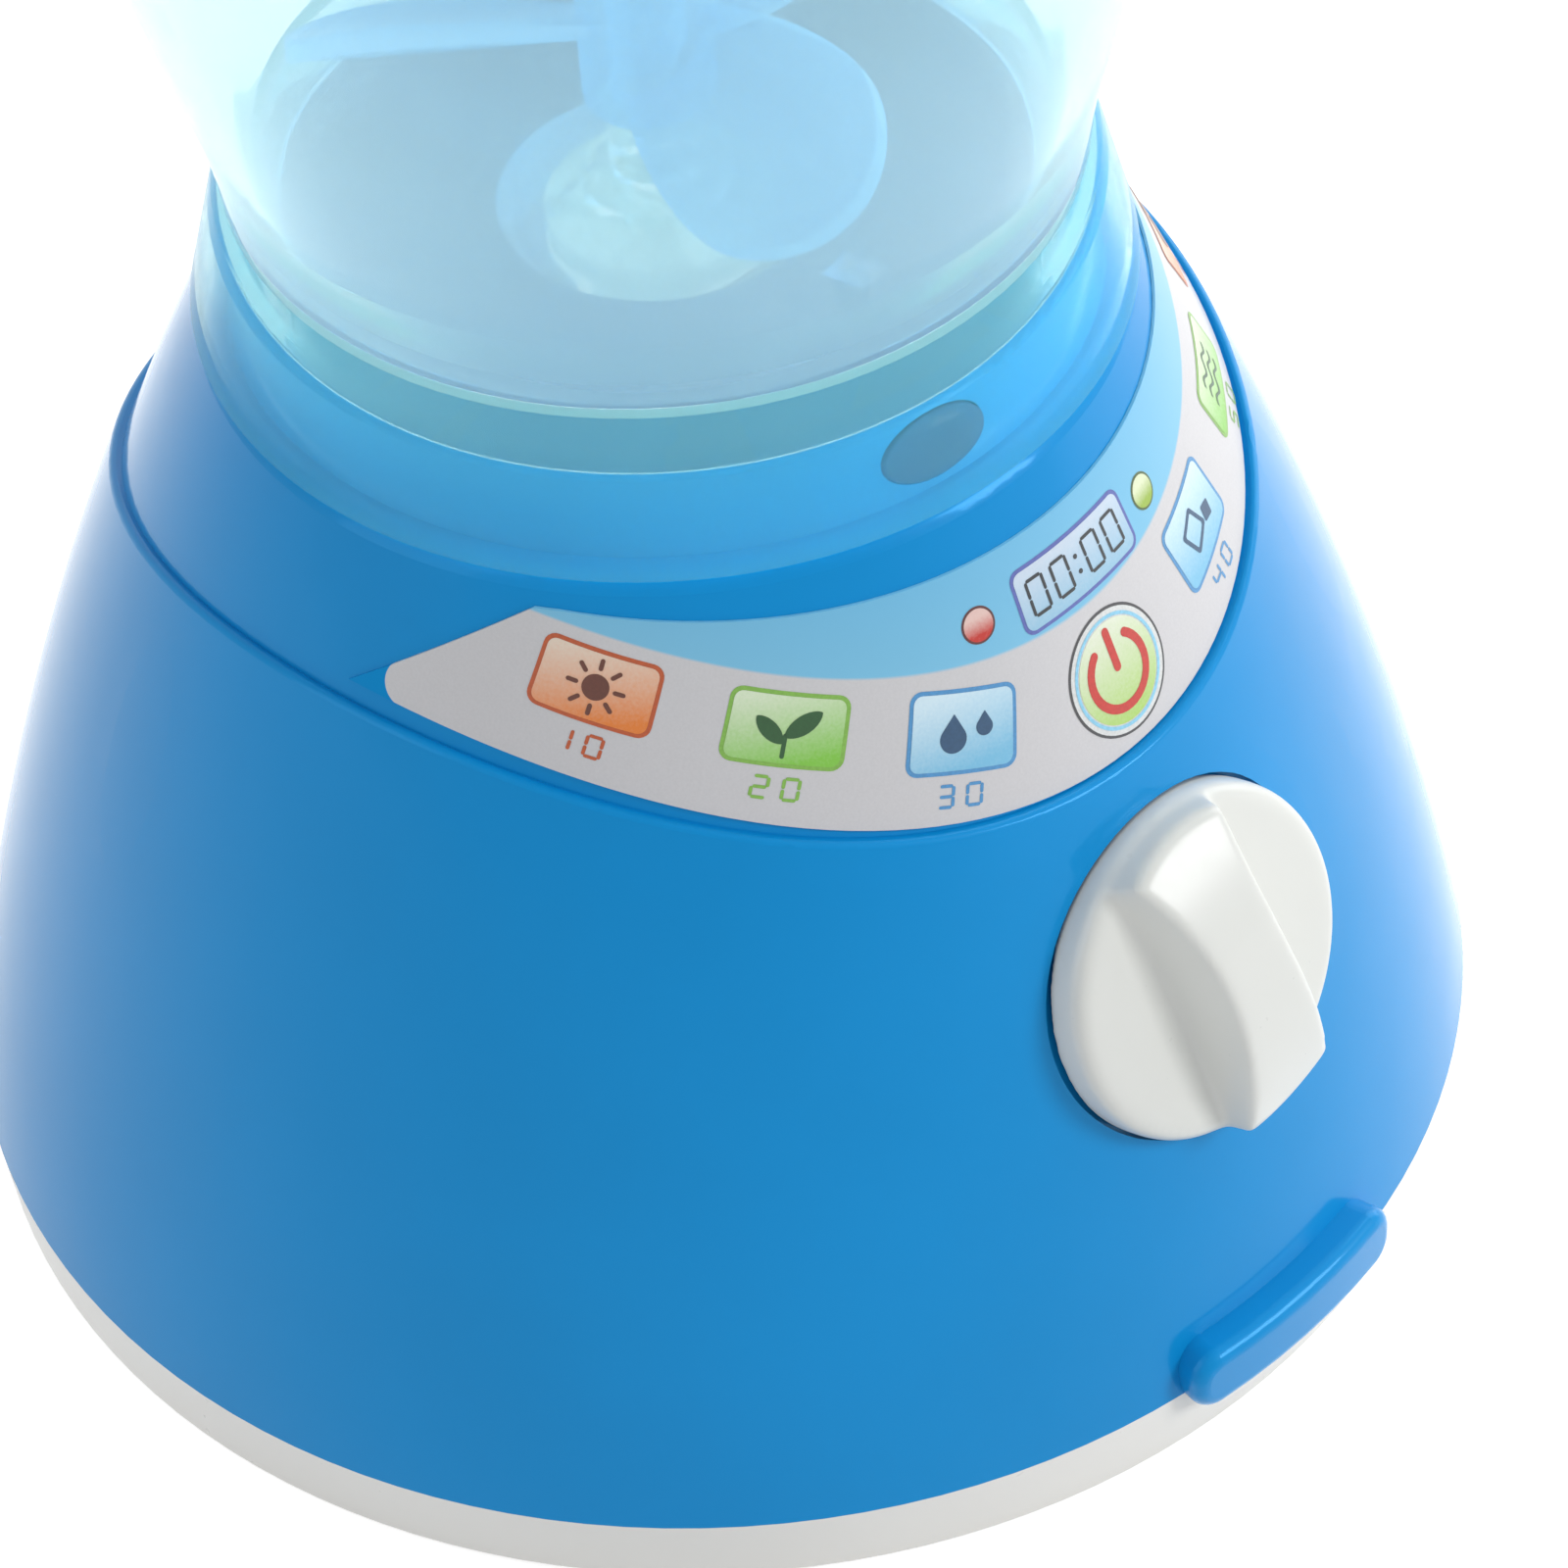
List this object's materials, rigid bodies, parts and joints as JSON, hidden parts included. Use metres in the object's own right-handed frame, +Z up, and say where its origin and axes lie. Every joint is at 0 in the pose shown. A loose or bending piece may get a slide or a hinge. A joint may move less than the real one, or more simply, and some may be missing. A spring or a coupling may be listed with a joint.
{
  "type": "toy blender",
  "caption": "Toy kitchen blender: battery base with a turning knob and a panel of pictograms, a lift-off clear jug with a spinning paddle, a lid and a lift-out cap.",
  "frame": {"origin": "on the base's axis, on the flat underside that the toy stands on", "axes": "+Z up along the axis of the base and jug; -Y is the front with the knob; +X is the toy's right side with the jug's handle"},
  "size_m": [0.1305, 0.122, 0.1922],
  "materials": {
    "blue_shell": "glossy moulded",
    "white_shell": "satin moulded",
    "screw_steel": "plated",
    "cell_jacket": "printed jacket",
    "contact_metal": "nickel plated",
    "motor_steel": "plated",
    "inner_plastic": "moulded",
    "bush_brass": "turned",
    "shaft_steel": "ground",
    "gear_plastic": "moulded",
    "board_green": "lacquered",
    "knob_white": "glossy moulded",
    "switch_body": "moulded",
    "clear_lens": "clear moulded",
    "led_red": "clear tinted",
    "panel_print": "printed film",
    "clear_bowl": "clear moulded",
    "collar_aqua": "frosted moulded",
    "handle_white": "glossy moulded",
    "paddle_blue": "translucent moulded",
    "spindle_pale": "translucent moulded",
    "lid_blue": "glossy moulded"
  },
  "bodies": {
    "base": {"base_housing": "blue_shell", "bottom_cover": "white_shell", "battery_door": "white_shell", "battery_door_screw": "screw_steel", "batteries": "cell_jacket", "battery_contacts": "contact_metal", "battery_springs": "contact_metal", "case_screws": "screw_steel", "motor": "motor_steel", "motor_bracket": "inner_plastic", "bracket_screws": "screw_steel", "lower_bush": "bush_brass", "upper_bush": "bush_brass", "control_board": "board_green", "board_screws": "screw_steel", "rotary_switch": "switch_body", "switch_nut": "screw_steel", "light_lens": "clear_lens", "light_led": "led_red", "panel_sticker": "panel_print"},
    "drive": {"drive_gear": "gear_plastic", "drive_shaft": "shaft_steel", "drive_coupling": "gear_plastic"},
    "pinion": {"motor_pinion": "bush_brass", "motor_shaft": "shaft_steel"},
    "knob": {"knob": "knob_white", "switch_spindle": "shaft_steel"},
    "jug": {"jug_bowl": "clear_bowl", "jug_collar": "collar_aqua", "jug_handle": "handle_white"},
    "blades": {"paddle": "paddle_blue", "paddle_spindle": "spindle_pale", "driven_coupling": "spindle_pale"},
    "lid": {"lid": "lid_blue"},
    "cap": {"lid_cap": "knob_white"}
  },
  "joints": [
    {"name": "knob_turn", "type": "hinge", "parent": "base", "child": "knob", "pos_m": [-0.00178, -0.05112, 0.0402], "axis": [-0.0332, -0.9504, 0.3091], "range_deg": [-60, 60]},
    {"name": "drive_spin", "type": "hinge", "parent": "base", "child": "drive", "pos_m": [0, 0, 0.07], "axis": [0, 0, 1], "continuous": true},
    {"name": "pinion_spin", "type": "hinge", "parent": "base", "child": "pinion", "pos_m": [0, 0.01262, 0.07], "axis": [0, 0, 1], "continuous": true},
    {"name": "jug_lift", "type": "slide", "parent": "base", "child": "jug", "axis": [0, 0, 1], "range_m": [0, 0.03]},
    {"name": "blade_spin", "type": "hinge", "parent": "jug", "child": "blades", "pos_m": [0, 0, 0.0875], "axis": [0, 0, 1], "continuous": true},
    {"name": "lid_lift", "type": "slide", "parent": "jug", "child": "lid", "axis": [0, 0, 1], "range_m": [0, 0.02]},
    {"name": "lid_cap_lift", "type": "slide", "parent": "lid", "child": "cap", "axis": [0, 0, 1], "range_m": [0, 0.015]}
  ],
  "couplings": [
    {"joint": "pinion_spin", "follows": "drive_spin", "ratio": -4},
    {"joint": "blade_spin", "follows": "drive_spin", "ratio": 1}
  ]
}
